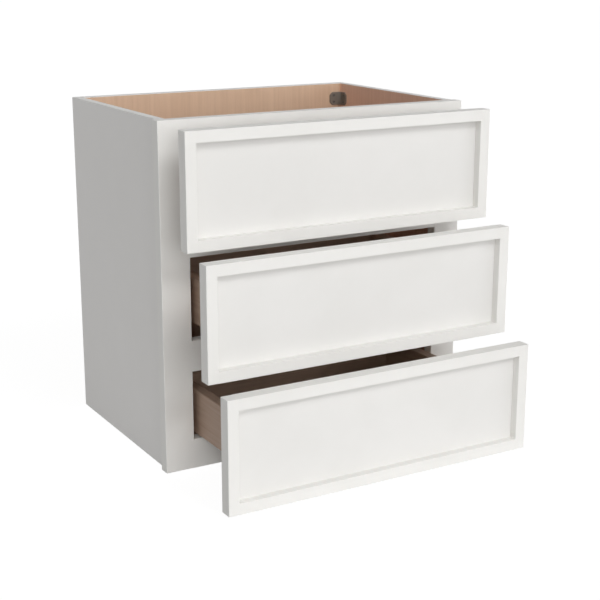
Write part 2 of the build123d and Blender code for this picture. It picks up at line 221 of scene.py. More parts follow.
def grain_group() -> Tree:
    """Wood figure along the X axis of its coordinate: growth lines, fibre and pores."""
    maker = GroupMaker("wood figure")
    tree = maker.tree
    place = maker.socket_in("Place")
    board = maker.socket_in("Board", 0.0)
    lines = maker.socket_in("Growth lines", 0.5)
    pores = maker.socket_in("Pores", 0.3)
    steps = {axis: combine(tree, "MULTIPLY", board, step) for axis, step in enumerate(BOARD_STEP)}
    offset = add_node(tree, "CombineXYZ", steps).outputs[0]
    spot = add_node(tree, "VectorMath", {0: place, 1: offset}, operation="ADD").outputs[0]
    cloud = noise(tree, spot, CLOUD_SCALE, 2.0, 0.6)
    rings = combine(tree, "PINGPONG", combine(tree, "MULTIPLY", cloud, RINGS_PER_CLOUD), 0.5)
    ring_tone = combine(tree, "MULTIPLY", remap(tree, rings, 0.30, 0.5), lines)
    streak = remap(tree, noise(tree, spot, STREAK_SCALE, 3.0), 0.32, 0.70)
    fibre = remap(tree, noise(tree, spot, FIBRE_SCALE, 2.0), 0.3, 0.7)
    pore = remap(tree, noise(tree, spot, PORE_SCALE, 1.0), 0.66, 0.74)
    pore_tone = combine(tree, "MULTIPLY", pore, pores)
    tone = total(tree, (streak, 0.50), (fibre, 0.40), (ring_tone, 0.55), (pore_tone, 0.5))
    maker.socket_out("Tone", tone)
    maker.socket_out("Broad", remap(tree, noise(tree, spot, BROAD_SCALE, 1.0), 0.3, 0.7))
    maker.socket_out("Height", total(tree, (fibre, 0.5), (pore_tone, -1.0)))
    return tree


def film_group() -> Tree:
    """A sprayed or moulded skin: fine peel, slow mottling and handling marks."""
    maker = GroupMaker("skin texture")
    tree = maker.tree
    place = maker.socket_in("Place")
    fine = maker.socket_in("Fineness", 1.0)
    grown = add_node(tree, "VectorMath", {0: place, "Scale": fine}, operation="SCALE").outputs[0]
    maker.socket_out("Peel", noise(tree, grown, PEEL_SCALE, 2.0))
    maker.socket_out("Mottle", noise(tree, place, MOTTLE_SCALE, 3.0, 0.5))
    maker.socket_out("Marks", remap(tree, noise(tree, place, MARK_SCALE, 5.0, 1.2), 0.60, 0.78))
    return tree


def worn_group() -> Tree:
    """Turns the marked edges of a piece into an uneven mask of worn or thinly covered spots."""
    maker = GroupMaker("edge wear")
    tree = maker.tree
    place = maker.socket_in("Place")
    edge = maker.socket_in("Edge", 0.0)
    uneven = remap(tree, noise(tree, place, WEAR_SCALE, 4.0), 0.42, 0.62, 0.35, 1.0)
    maker.socket_out("Mask", combine(tree, "MULTIPLY", edge, uneven))
    return tree


@dataclass(frozen=True)
class Shelf:
    """The shader groups that several finishes share."""

    grain: Tree
    film: Tree
    worn: Tree


# Finishes


class Dressing:
    """A new material with its shader, its object coordinate and a shelf of groups."""

    def __init__(self, name: str, shelf: Shelf) -> None:
        """Makes an empty material of this name."""
        self.shelf = shelf
        self.material = bpy.data.materials.new(name)
        self.material.use_nodes = True
        self.tree = self.material.node_tree
        self.shader = self.tree.nodes["Principled BSDF"]
        self.place = self.tree.nodes.new("ShaderNodeTexCoord").outputs["Object"]

    def attribute(self, name: str) -> Socket:
        """The value of one of the piece's own attributes."""
        return add_node(self.tree, "Attribute", {}, attribute_name=name).outputs["Fac"]

    def group(self, kind: Tree, **values: Value) -> dict[str, Socket]:
        """Places a group with these inputs and returns its outputs by name."""
        inputs = {name.replace("_", " "): value for name, value in values.items()}
        return dict(add_node(self.tree, "Group", inputs, node_tree=kind).outputs.items())

    def film(self, fineness: float) -> dict[str, Socket]:
        """Places the skin texture."""
        return self.group(self.shelf.film, Place=self.place, Fineness=fineness)

    def wear(self) -> Socket:
        """The mask of worn spots on the eased edges."""
        return self.group(self.shelf.worn, Place=self.place, Edge=self.attribute(EDGE))["Mask"]

    def constants(self, **values: float) -> None:
        """Sets numbers on the shader's own sockets."""
        for name, value in values.items():
            self.shader.inputs[name.replace("_", " ")].default_value = value

    def feed(self, name: str, value: Socket) -> None:
        """Links a value to one of the shader's sockets."""
        self.tree.links.new(value, self.shader.inputs[name])

    def relief(self, height: Socket, depth: float) -> None:
        """Feeds a height, whose full range is depth metres, to the shader as a bump."""
        inputs = {"Strength": 1.0, "Distance": depth, "Height": height}
        self.feed("Normal", add_node(self.tree, "Bump", inputs).outputs["Normal"])


@dataclass(frozen=True)
class Finish:
    """A kind of surface."""

    name: str

    def lay_out(self, coat: Dressing, tree: Tree) -> None:
        """Adds the nodes of this finish to a new material and its tree."""
        raise NotImplementedError

    def build(self, shelf: Shelf) -> Material:
        """Makes the material."""
        coat = Dressing(self.name, shelf)
        self.lay_out(coat, coat.tree)
        return coat.material


@dataclass(frozen=True)
class Paint(Finish):
    """A sprayed white lacquer, a little thinner and brighter on the eased edges."""

    colour: Colour
    shade: Colour
    edge: Colour
    roughness: float = 0.52
    peel: float = 0.00002

    def lay_out(self, coat: Dressing, tree: Tree) -> None:
        """Lays out the nodes."""
        film = coat.film(1.0)
        mottle = remap(tree, film["Mottle"], 0.35, 0.65)
        colour = blend(tree, mottle, self.shade, self.colour)
        colour = blend(tree, combine(tree, "MULTIPLY", film["Marks"], 0.25), colour, self.shade)
        coat.feed("Base Color", blend(tree, coat.wear(), colour, self.edge))
        low, high = self.roughness - 0.04, self.roughness + 0.05
        coat.feed("Roughness", remap(tree, film["Mottle"], 0.3, 0.7, low, high))
        coat.constants(IOR=1.45, Specular_IOR_Level=0.32, Coat_Weight=0.04, Coat_Roughness=0.35)
        coat.relief(film["Peel"], self.peel)


@dataclass(frozen=True)
class Wood(Finish):
    """A clear-finished wood with its grain along one axis."""

    light: Colour
    dark: Colour
    warm: Colour
    grain: Axis
    lines: float = 0.20
    pores: float = 0.15
    contrast: float = 0.50
    roughness: float = 0.5

    def lay_out(self, coat: Dressing, tree: Tree) -> None:
        """Lays out the nodes."""
        turns = {Axis.X: (0.0, 0.0, 0.0), Axis.Y: (0.0, 0.0, -pi / 2), Axis.Z: (0.0, pi / 2, 0.0)}
        turned = add_node(tree, "Mapping", {"Vector": coat.place, "Rotation": turns[self.grain]}).outputs[0]
        figure = coat.group(coat.shelf.grain, Place=turned, Board=coat.attribute(BOARD),
                            Growth_lines=self.lines, Pores=self.pores)
        tone = remap(tree, figure["Tone"], 0.15, 1.15, 0.0, self.contrast)
        ground = blend(tree, figure["Broad"], self.light, self.warm)
        colour = blend(tree, tone, ground, self.dark)
        worn = combine(tree, "MULTIPLY", coat.wear(), 0.35)
        coat.feed("Base Color", blend(tree, worn, colour, self.light))
        rough = remap(tree, figure["Tone"], 0.1, 1.1, self.roughness, self.roughness + 0.14)
        coat.feed("Roughness", rough)
        coat.constants(IOR=1.47, Coat_Weight=0.08, Coat_Roughness=0.35)
        coat.relief(figure["Height"], 0.00005)


@dataclass(frozen=True)
class EndGrain(Finish):
    """Wood cut across: close pores and faint arcs."""

    light: Colour
    dark: Colour

    def lay_out(self, coat: Dressing, tree: Tree) -> None:
        """Lays out the nodes."""
        cut = noise(tree, coat.place, CUT_SCALE, 3.0, 0.4)
        speck = remap(tree, noise(tree, coat.place, SPECK_SCALE, 1.0), 0.55, 0.7)
        tone = total(tree, (remap(tree, cut, 0.35, 0.65, 0.0, 0.7), 1.0), (speck, 0.4))
        coat.feed("Base Color", blend(tree, tone, self.light, self.dark))
        coat.feed("Roughness", remap(tree, cut, 0.3, 0.7, 0.6, 0.75))
        coat.relief(cut, 0.00005)


@dataclass(frozen=True)
class Plywood(Finish):
    """The cut edge of a sheet: plies of two tones across its thickness."""

    light: Colour
    dark: Colour
    across: Axis
    ply: float = 0.0018
    wander: float = 0.0012

    def lay_out(self, coat: Dressing, tree: Tree) -> None:
        """Lays out the nodes."""
        split = add_node(tree, "SeparateXYZ", {0: coat.place})
        drift = noise(tree, coat.place, PLY_WANDER_SCALE, 2.0)
        depth = total(tree, (split.outputs[self.across.value], 1.0), (drift, self.wander))
        layer = combine(tree, "PINGPONG", combine(tree, "MULTIPLY", depth, 1 / self.ply), 1.0)
        fleck = remap(tree, noise(tree, coat.place, FLECK_SCALE, 3.0), 0.35, 0.65, 0.0, 0.35)
        shade = total(tree, (remap(tree, layer, 0.35, 0.65), 0.6), (fleck, 1.0))
        coat.feed("Base Color", blend(tree, shade, self.light, self.dark))
        coat.feed("Roughness", remap(tree, fleck, 0.0, 0.35, 0.6, 0.72))
        coat.relief(shade, 0.00006)


@dataclass(frozen=True)
class Steel(Finish):
    """Zinc-coated or dull steel with rolling marks along one axis."""

    colour: Colour
    dull: Colour
    roughness: float = 0.3
    rolled_scale: Scale = (900.0, 9.0, 900.0)

    def lay_out(self, coat: Dressing, tree: Tree) -> None:
        """Lays out the nodes."""
        rolled = noise(tree, coat.place, self.rolled_scale, 2.0)
        film = coat.film(0.6)
        bloom = remap(tree, film["Peel"], 0.4, 0.62)
        colour = blend(tree, bloom, self.colour, self.dull)
        coat.feed("Base Color", blend(tree, coat.wear(), colour, self.colour))
        rough = remap(tree, rolled, 0.3, 0.7, self.roughness, self.roughness + 0.14)
        coat.feed("Roughness", total(tree, (rough, 1.0), (film["Marks"], 0.1)))
        coat.constants(Metallic=1.0)
        coat.relief(rolled, 0.000002)


@dataclass(frozen=True)
class Moulded(Finish):
    """Moulded plastic or rubber."""

    colour: Colour
    scuff: Colour
    roughness: float
    clear: float = 0.0
    grain: float = 0.00003

    def lay_out(self, coat: Dressing, tree: Tree) -> None:
        """Lays out the nodes."""
        film = coat.film(4.0)
        handled = combine(tree, "MULTIPLY", film["Marks"], 0.5)
        marks = combine(tree, "MAXIMUM", coat.wear(), handled)
        coat.feed("Base Color", blend(tree, marks, self.colour, self.scuff))
        low, high = self.roughness - 0.05, self.roughness + 0.08
        coat.feed("Roughness", remap(tree, film["Peel"], 0.3, 0.7, low, high))
        coat.constants(IOR=1.47, Transmission_Weight=self.clear)
        coat.relief(film["Peel"], self.grain)


class Finishes:
    """Every material of the cabinet, by name."""

    back_wood = ((0.880, 0.760, 0.655), (0.720, 0.580, 0.470), (0.845, 0.712, 0.600))
    side_wood = ((0.970, 0.815, 0.725), (0.820, 0.630, 0.530), (0.935, 0.765, 0.672))
    box_wood = ((0.722, 0.633, 0.568), (0.590, 0.481, 0.407), (0.694, 0.592, 0.520))
    member_white = ((0.945, 0.940, 0.927), (0.935, 0.930, 0.916), (0.958, 0.954, 0.944))
    # The panel tones are a little darker than the members' tones: painted shade of the panels' deep recess.
    recess_shaded_white = ((0.922, 0.917, 0.907), (0.913, 0.908, 0.897), (0.935, 0.930, 0.920))
    case_white = ((0.940, 0.934, 0.925), (0.930, 0.924, 0.914), (0.952, 0.947, 0.938))
    end_tones = ((0.64, 0.54, 0.47), (0.50, 0.41, 0.34))
    ply_tones = ((0.84, 0.73, 0.61), (0.62, 0.49, 0.38))
    zinc_tones = ((0.74, 0.75, 0.76), (0.68, 0.69, 0.71))
    screw_tones = ((0.46, 0.45, 0.44), (0.36, 0.35, 0.34))
    plastic_tones = ((0.46, 0.425, 0.39), (0.51, 0.475, 0.44))
    nylon_tones = ((0.86, 0.86, 0.83), (0.78, 0.77, 0.73))
    rubber_tones = ((0.93, 0.93, 0.92), (0.86, 0.86, 0.85))

    def __init__(self) -> None:
        """Builds the shared groups and then the materials."""
        shelf = Shelf(grain_group(), film_group(), worn_group())
        self.paint = Paint("white paint", *self.member_white).build(shelf)
        # The recessed panels take the darker white, which is painted shade of their recess.
        self.recess_shaded_paint = Paint("white panel paint with painted recess shade", *self.recess_shaded_white, 0.55).build(shelf)
        self.case_paint = Paint("white case paint", *self.case_white, 0.5).build(shelf)
        self.back_veneer = Wood("back veneer", *self.back_wood, Axis.Z).build(shelf)
        self.side_veneer = Wood("side veneer", *self.side_wood, Axis.Z).build(shelf)
        self.floor_veneer = Wood("floor veneer", *self.box_wood, Axis.X).build(shelf)
        self.maple = {axis: Wood(f"drawer maple {axis.name}", *self.box_wood, axis, 0.35, 0.2, 0.60,
                                 0.45).build(shelf) for axis in Axis}
        self.end = EndGrain("maple end grain", *self.end_tones).build(shelf)
        self.plies = {axis: Plywood(f"ply edge {axis.name}", *self.ply_tones, axis).build(shelf)
                      for axis in Axis}
        self.steel = Steel("zinc-coated steel", *self.zinc_tones).build(shelf)
        self.dull = Steel("dull screw steel", *self.screw_tones, 0.36).build(shelf)
        self.black = Moulded("black plastic", *self.plastic_tones, 0.6).build(shelf)
        self.nylon = Moulded("white nylon", *self.nylon_tones, 0.4).build(shelf)
        self.rubber = Moulded("clear rubber", *self.rubber_tones, 0.18, 0.3, 0.00001).build(shelf)


# Meshes


def enter(name: str, data: bpy.types.ID) -> bpy.types.Object:
    """Puts a new object into the scene."""
    made = bpy.data.objects.new(name, data)
    bpy.context.scene.collection.objects.link(made)
    return made


def corners(spots: Iterable[Vector]) -> tuple[Vector, Vector]:
    """The lowest and the highest corner of the box around some spots."""
    columns = list(zip(*spots))
    return Vector(map(min, columns)), Vector(map(max, columns))


class Workpiece:
    """A mesh in the making, in the cabinet's own frame and in metres."""

    def __init__(self, source: bpy.types.Mesh | None = None) -> None:
        """Starts a mesh, empty or a copy, that has a layer for marked edges."""
        self.mesh = bmesh.new()
        if source:
            self.mesh.from_mesh(source)
        self.edge_layer = self.mesh.loops.layers.float.new(EDGE)

    @classmethod
    def from_node(cls, node: str, flatten: bool = True) -> "Workpiece":
        """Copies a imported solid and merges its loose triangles.

        Args:
            node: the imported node.
            flatten: whether triangles in one plane are joined.

        Returns:
            The copy, ready to be eased.
        """
        piece = cls(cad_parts[node].data)
        mesh = piece.mesh
        bmesh.ops.remove_doubles(mesh, verts=mesh.verts, dist=SAME_SPOT)
        if flatten:
            bmesh.ops.dissolve_limit(mesh, angle_limit=radians(1), verts=mesh.verts, edges=mesh.edges)
        return piece

    @classmethod
    def block(cls, low: Vector, high: Vector) -> "Workpiece":
        """A box between two corners."""
        piece = cls()
        bmesh.ops.create_cube(piece.mesh, size=1.0)
        placing = Matrix.Translation((low + high) / 2) @ Matrix.Diagonal((*(high - low), 1.0))
        bmesh.ops.transform(piece.mesh, matrix=placing, verts=piece.mesh.verts)
        return piece

    def box(self) -> tuple[Vector, Vector]:
        """The lowest and the highest corner."""
        return corners(vert.co for vert in self.mesh.verts)

    def cut(self, axis: Axis, places: Iterable[float]) -> None:
        """Adds edge loops where planes across an axis meet the mesh."""
        for place in places:
            parts = [*self.mesh.verts, *self.mesh.edges, *self.mesh.faces]
            bmesh.ops.bisect_plane(self.mesh, geom=parts, dist=SAME_SPOT, plane_co=axis.unit * place,
                                   plane_no=axis.unit)

    def arrises(self, keep: Callable[[Vector, Axis], bool]) -> list[Edge]:
        """The edges that lie along the twelve edges of the piece's box.

        Args:
            keep: chooses among them, given an edge's middle and its direction.

        Returns:
            The chosen edges.
        """
        low, high = self.box()
        found = []
        for edge in self.mesh.edges:
            first, second = (vert.co for vert in edge.verts)
            for axis in Axis:
                outer = all(abs(first[other] - second[other]) < SAME_SPOT
                            and min(abs(first[other] - low[other]), abs(first[other] - high[other])) < ON_BOX
                            for other in range(3) if other != axis.value)
                if outer and len(edge.link_faces) == 2 and keep((first + second) / 2, axis):
                    found.append(edge)
        return found

    def ease(self, edges: list[Edge], width: float, segments: int = 2) -> None:
        """Rounds edges and marks the new faces as edge faces.

        Args:
            edges: the edges.
            width: the width of the rounding beside each edge.
            segments: how many faces it has, where one is a flat chamfer.
        """
        if not edges:
            return
        made = bmesh.ops.bevel(self.mesh, geom=edges, offset=width, offset_type="OFFSET", segments=segments,
                               profile=0.5, affect="EDGES", clamp_overlap=True, material=-1)
        for face in made["faces"]:
            face.smooth = segments > 1
            for loop in face.loops:
                loop[self.edge_layer] = 1.0

    def dress(self, choose: Callable[[Face], Skin]) -> None:
        """Gives each face the material slot of the skin that choose names."""
        for face in self.mesh.faces:
            face.material_index = choose(face).value

    def place(self, node: str, ending: str, materials: Iterable[Material], body: str, slot: str,
              board: float = 0.0) -> None:
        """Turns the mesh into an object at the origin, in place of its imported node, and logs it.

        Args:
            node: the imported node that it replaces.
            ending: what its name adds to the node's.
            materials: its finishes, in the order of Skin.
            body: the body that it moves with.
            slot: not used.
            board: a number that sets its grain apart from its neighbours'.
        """
        data = bpy.data.meshes.new(f"{node}_{ending}")
        self.mesh.to_mesh(data)
        self.mesh.free()
        for material in materials:
            data.materials.append(material)
        marks = data.attributes.new(BOARD, "FLOAT", "POINT")
        marks.data.foreach_set("value", [board] * len(data.vertices))
        piece = enter(data.name, data)
        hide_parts(node)
        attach(piece, body)
        log.info("%s: %d faces on %s", piece.name, len(data.polygons), body)


def facing(face: Face, axis: Axis) -> bool:
    """Whether a face looks along an axis, one way or the other."""
    return abs(face.normal[axis.value]) > ALONG


def build_sheet(node: str, finishes: Finishes, body: str, board: float) -> None:
    """Makes a level sheet with veneered faces and bare edges."""
    piece = Workpiece.from_node(node)
    piece.dress(lambda face: Skin.FACE if facing(face, Axis.Z) else Skin.END)
    wood = finishes.floor_veneer
    piece.place(node, "sheet", [wood, wood, finishes.plies[Axis.Z]], body, "maple", board)


# Case


@dataclass
class FaceFrame:
    """The face frame: two stiles and four rails, eased where they are open and flush where they meet."""

    finishes: Finishes
    ease: float = 0.0011
    hairline: float = 0.00018
    rails: tuple[str, ...] = ("bottom", "middle_1", "middle_2", "top")

    def covered(self, height: float) -> bool:
        """Whether a rail meets the stiles at this height."""
        boxes = [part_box(f"frame_rail_{rail}") for rail in self.rails]
        return any(low.z < height < high.z for low, high in boxes)

    def build_stile(self, word: str) -> None:
        """Makes one stile."""
        node = f"frame_stile_{word}"
        low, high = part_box(node)
        inner = high.x if SIDES[word] < 0 else low.x
        piece = Workpiece.block(low, high)
        levels = [corner.z for rail in self.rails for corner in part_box(f"frame_rail_{rail}")]
        piece.cut(Axis.Z, sorted(level for level in levels if low.z + FLUSH < level < high.z - FLUSH))

        def open_edge(middle: Vector, axis: Axis) -> bool:
            """Leaves out the inner edges where rails meet the stile."""
            return not (axis is Axis.Z and abs(middle.x - inner) < FLUSH and self.covered(middle.z))

        piece.ease(piece.arrises(open_edge), self.ease)
        piece.place(node, "painted", [self.finishes.paint], "case", "white_paint")

    def build_rail(self, rail: str) -> None:
        """Makes one rail, between the stiles."""
        node = f"frame_rail_{rail}"
        low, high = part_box(node)
        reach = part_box("frame_stile_right")[0].x
        piece = Workpiece.block(Vector((-reach, low.y, low.z)), Vector((reach, high.y, high.z)))
        joints = piece.arrises(lambda middle, axis: axis is Axis.Z and middle.y < low.y + FLUSH)
        piece.ease(joints, self.hairline, 1)
        piece.ease(piece.arrises(lambda middle, axis: axis is Axis.X), self.ease)
        piece.place(node, "painted", [self.finishes.paint], "case", "white_paint")

    def build(self) -> None:
        """Makes the whole face frame."""
        for word in SIDES:
            self.build_stile(word)
        for rail in self.rails:
            self.build_rail(rail)


@dataclass
class CaseBox:
    """Sides, back, floor and runners: painted outside, veneered inside."""

    finishes: Finishes
    ease: float = 0.0006
    runner_ease: float = 0.0015
    runner_angle: float = 1.0

    def build_side(self, word: str) -> None:
        """Makes one side."""
        side = SIDES[word]
        node = f"side_{word}"
        piece = Workpiece.from_node(node)
        low, high = piece.box()
        piece.ease(piece.arrises(lambda middle, axis: middle.y > low.y + AT_FACE), self.ease)
        outer = low.x if side < 0 else high.x

        def skin(face: Face) -> Skin:
            """Paint on the outer face and on the upper edge, veneer inside, plies on the other edges."""
            middle = face.calc_center_median()
            if abs(middle.x - outer) < AT_FACE or middle.z > high.z - AT_FACE:
                return Skin.FACE
            return Skin.INSIDE if facing(face, Axis.X) else Skin.END

        piece.dress(skin)
        materials = [self.finishes.case_paint, self.finishes.side_veneer, self.finishes.plies[Axis.X]]
        piece.place(node, "panel", materials, "case", "case_paint", 2.0 + side)

    def build_back(self) -> None:
        """Makes the back, with its four holes for the wall screws."""
        piece = Workpiece.from_node("back_panel", flatten=False)
        high = piece.box()[1]
        rims = piece.arrises(lambda middle, axis: middle.y > high.y - AT_FACE or axis is Axis.X)
        piece.ease(rims, self.ease)

        def skin(face: Face) -> Skin:
            """Paint on the upper edge, veneer on both faces, plies on the rest."""
            if face.calc_center_median().z > high.z - AT_FACE:
                return Skin.FACE
            return Skin.INSIDE if facing(face, Axis.Y) else Skin.END

        piece.dress(skin)
        materials = [self.finishes.case_paint, self.finishes.back_veneer, self.finishes.plies[Axis.Y]]
        piece.place("back_panel", "sheet", materials, "case", "maple", 4.3)

    def build_runners(self, drawer: int) -> None:
        """Makes the two bars under one drawer's slides."""
        node = f"drawer_{drawer}_runners"
        piece = Workpiece.from_node(node)
        low, high = piece.box()
        depth = high.y - low.y
        long_edges = [edge for edge in piece.mesh.edges if edge.calc_length() > ALONG * depth
                      and len(edge.link_faces) == 2 and edge.calc_face_angle() > self.runner_angle]
        piece.ease(long_edges, self.runner_ease)
        piece.place(node, "bars", [self.finishes.maple[Axis.Y]], "case", "maple", 6.0 + drawer)

    def build(self) -> None:
        """Makes the whole case."""
        for word in SIDES:
            self.build_side(word)
        self.build_back()
        build_sheet("floor_panel", self.finishes, "case", 5.1)
        for drawer in DRAWERS[:-1]:
            self.build_runners(drawer)


# Drawers


@dataclass
class DrawerPart:
    """A sub-assembly of one drawer."""

    drawer: int
    finishes: Finishes

    @property
    def body(self) -> str:
        """The body that the drawer moves as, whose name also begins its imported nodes' names."""
        return f"drawer_{self.drawer}"


@dataclass
class DrawerFront(DrawerPart):
    """A narrow shaker front: stiles, rails and a deep recessed panel."""

    ease: float = 0.0010
    hairline: float = 0.00015

    def finish(self, piece: Workpiece, node: str, paint: Material) -> None:
        """Turns a painted piece into an object on this front's drawer."""
        piece.place(node, "painted", [paint], self.body, "white_paint")

    def build_stile(self, word: str) -> None:
        """Makes one stile."""
        node = f"{self.body}_front_stile_{word}"
        piece = Workpiece.from_node(node)
        low, high = piece.box()
        inner = high.x if SIDES[word] < 0 else low.x
        member = high.x - low.x
        piece.cut(Axis.Z, (low.z + member, high.z - member))

        def open_edge(middle: Vector, axis: Axis) -> bool:
            """Leaves out the inner edges where the rails meet the stile."""
            joint = not low.z + member < middle.z < high.z - member
            hidden = axis is Axis.Y or joint or middle.y > low.y + FLUSH
            return not (abs(middle.x - inner) < FLUSH and hidden)

        piece.ease(piece.arrises(open_edge), self.ease)
        self.finish(piece, node, self.finishes.paint)

    def build_rail(self, word: str) -> None:
        """Makes one rail."""
        node = f"{self.body}_front_rail_{word}"
        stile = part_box(f"{self.body}_front_stile_right")[0].x
        piece = Workpiece.from_node(node)
        front = piece.box()[0].y + FLUSH

        def shown(edge: Edge, direction: Axis) -> bool:
            """Whether an edge lies on the front face and runs in a direction."""
            first, second = (vert.co for vert in edge.verts)
            run = abs(first[direction.value] - second[direction.value])
            return run > ALONG * edge.calc_length() and first.y < front and second.y < front

        joints = [edge for edge in piece.mesh.edges
                  if shown(edge, Axis.Z) and abs(abs(edge.verts[0].co.x) - stile) < FLUSH]
        piece.ease(joints, self.hairline, 1)
        open_edges = [edge for edge in piece.mesh.edges if shown(edge, Axis.X) and edge.calc_length() > stile]
        piece.ease(open_edges, self.ease)
        self.finish(piece, node, self.finishes.paint)

    def build(self) -> None:
        """Makes the whole front."""
        for word in SIDES:
            self.build_stile(word)
        for word in ("top", "bottom"):
            self.build_rail(word)
        node = f"{self.body}_front_panel"
        # The panel gets the darker paint, which carries painted shade of its recess.
        self.finish(Workpiece.from_node(node), node, self.finishes.recess_shaded_paint)


@dataclass
class DrawerBox(DrawerPart):
    """A dovetailed maple box with its bottom in grooves."""

    round_over: float = 0.0022

    def build_board(self, name: str, grain: Axis, board: float) -> None:
        """Makes one wall of the box.

        Args:
            name: the wall's name.
            grain: the direction of its grain.
            board: a number that sets its grain apart.
        """
        node = f"{self.body}_box_{name}"
        piece = Workpiece.from_node(node)
        high = piece.box()[1]
        piece.ease(piece.arrises(lambda middle, axis: middle.z > high.z - FLUSH), self.round_over, 3)
        piece.dress(lambda face: Skin.END if facing(face, grain) else Skin.FACE)
        wood = self.finishes.maple[grain]
        materials = [wood, wood, self.finishes.end]
        piece.place(node, "board", materials, self.body, "maple", board + self.drawer)

    def build(self) -> None:
        """Makes the whole box."""
        for word, side in SIDES.items():
            self.build_board(word, Axis.Y, 11.0 + side)
        for number, word in enumerate(("front", "back")):
            self.build_board(word, Axis.X, 15.0 + number)
        build_sheet(f"{self.body}_box_bottom", self.finishes, self.body, 3.3 * self.drawer)


# Hardware and its screws


def spin_profile(mesh: bmesh.types.BMesh, profile: Iterable[Vector], centre: Vector, axis: Axis,
                 steps: int) -> None:
    """Turns a profile all the way round an axis through a centre."""
    verts = [mesh.verts.new(spot) for spot in profile]
    edges = [mesh.edges.new(pair) for pair in zip(verts, verts[1:])]
    bmesh.ops.spin(mesh, geom=[*verts, *edges], cent=centre, axis=axis.unit, angle=2 * pi, steps=steps,
                   use_merge=True)


@dataclass(frozen=True)
class ScrewPlace:
    """Where a screw stands: its head's centre and outward direction, head radius and length."""

    head: Vector
    outward: Vector
    radius: float
    length: float

    @classmethod
    def around(cls, spots: list[Vector]) -> "ScrewPlace":
        """Reads a screw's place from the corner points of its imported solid."""
        low, high = corners(spots)
        size = high - low
        run = max(Axis, key=lambda axis: size[axis.value])
        middle = (low + high) / 2
        reaches = {}
        for sign, end in ((-1, low), (1, high)):
            group = [spot - middle for spot in spots if abs(spot[run.value] - end[run.value]) < ON_BOX]
            reaches[sign] = max((spot - run.unit * spot[run.value]).length for spot in group)
        sign = max(reaches, key=lambda key: reaches[key])
        head = middle.copy()
        head[run.value] = low[run.value] if sign < 0 else high[run.value]
        return cls(head, run.unit * sign, reaches[sign], size[run.value])


@dataclass
class ScrewHeads:
    """Countersunk screws with a cross recess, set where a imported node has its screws."""

    finishes: Finishes
    rim: int = 20
    shank_share: float = 0.62
    cone_share: float = 0.38
    cone_extra: float = 0.0002
    rim_drop: float = 0.0003
    point: float = 0.0015
    flat_rim: float = 0.0008
    recess_wall: float = 0.0003
    recess_steps: tuple[float, float] = (0.0002, 0.0012)
    arm_ratio: float = 2.2
    waist: float = 0.45

    def places(self, node: str) -> list[ScrewPlace]:
        """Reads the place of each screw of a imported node."""
        mesh = bmesh.new()
        mesh.from_mesh(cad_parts[node].data)
        bmesh.ops.remove_doubles(mesh, verts=mesh.verts, dist=SAME_SPOT)
        left = set(mesh.verts)
        found = []
        while left:
            island, queue = set(), [left.pop()]
            while queue:
                vert = queue.pop()
                island.add(vert)
                linked = [edge.other_vert(vert) for edge in vert.link_edges]
                fresh = [other for other in linked if other in left]
                left.difference_update(fresh)
                queue.extend(fresh)
            found.append(ScrewPlace.around([vert.co.copy() for vert in island]))
        mesh.free()
        return found

    def press_cross(self, mesh: bmesh.types.BMesh, faces: Iterable[Face]) -> None:
        """Sinks a cross-shaped recess into the flat face of a screw head."""
        top = [face for face in faces if face.normal.z > ALONG]
        joined = bmesh.ops.dissolve_faces(mesh, faces=top)["region"]
        bmesh.ops.inset_region(mesh, faces=joined, thickness=self.flat_rim, use_even_offset=True)
        for face in joined:
            for step, drop in enumerate(self.recess_steps):
                bmesh.ops.inset_region(mesh, faces=[face], thickness=self.recess_wall, use_even_offset=True)
                for vert in face.verts:
                    near, far = sorted((abs(vert.co.x), abs(vert.co.y)))
                    if step == 0 and far <= self.arm_ratio * near:
                        vert.co.x *= self.waist
                        vert.co.y *= self.waist
                    vert.co.z -= drop

    def add_screw(self, mesh: bmesh.types.BMesh, place: ScrewPlace) -> None:
        """Adds one screw: a spun head and shank, then a cross pressed into the head."""
        others = set(mesh.verts)
        radius = place.radius
        shank = self.shank_share * radius
        outline = [(0.0, 0.0), (radius - self.rim_drop, 0.0), (radius, -self.rim_drop),
                   (shank, -self.cone_share * radius - self.cone_extra), (shank, self.point - place.length),
                   (0.0, -place.length)]
        profile = [Vector((reach, 0.0, height)) for reach, height in outline]
        spin_profile(mesh, profile, Vector(), Axis.Z, self.rim)
        bmesh.ops.remove_doubles(mesh, verts=[vert for vert in mesh.verts if vert not in others],
                                 dist=SAME_SPOT)
        faces = list({face for vert in mesh.verts if vert not in others for face in vert.link_faces})
        bmesh.ops.recalc_face_normals(mesh, faces=faces)
        self.press_cross(mesh, faces)
        turn = Vector((0, 0, 1)).rotation_difference(place.outward).to_matrix().to_4x4()
        bmesh.ops.transform(mesh, matrix=Matrix.Translation(place.head) @ turn,
                            verts=[vert for vert in mesh.verts if vert not in others])

    def build(self, node: str, body: str) -> None:
        """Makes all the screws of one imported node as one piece."""
        piece = Workpiece()
        for place in self.places(node):
            self.add_screw(piece.mesh, place)
        piece.place(node, "cross_heads", [self.finishes.dull], body, "screw_steel")


@dataclass
class CornerBrackets:
    """The moulded brackets high in the corners: two wings with a web between them."""

    finishes: Finishes
    ease: float = 0.0007
    angle: float = 0.6
    shortest: float = 0.0028

    def build(self) -> None:
        """Makes the four brackets."""
        piece = Workpiece.from_node("corner_brackets")
        sharp = [edge for edge in piece.mesh.edges if len(edge.link_faces) == 2 and edge.is_convex
                 and edge.calc_face_angle() > self.angle and edge.calc_length() > self.shortest]
        piece.ease(sharp, self.ease)
        piece.place("corner_brackets", "moulded", [self.finishes.black], "case", "black_plastic")


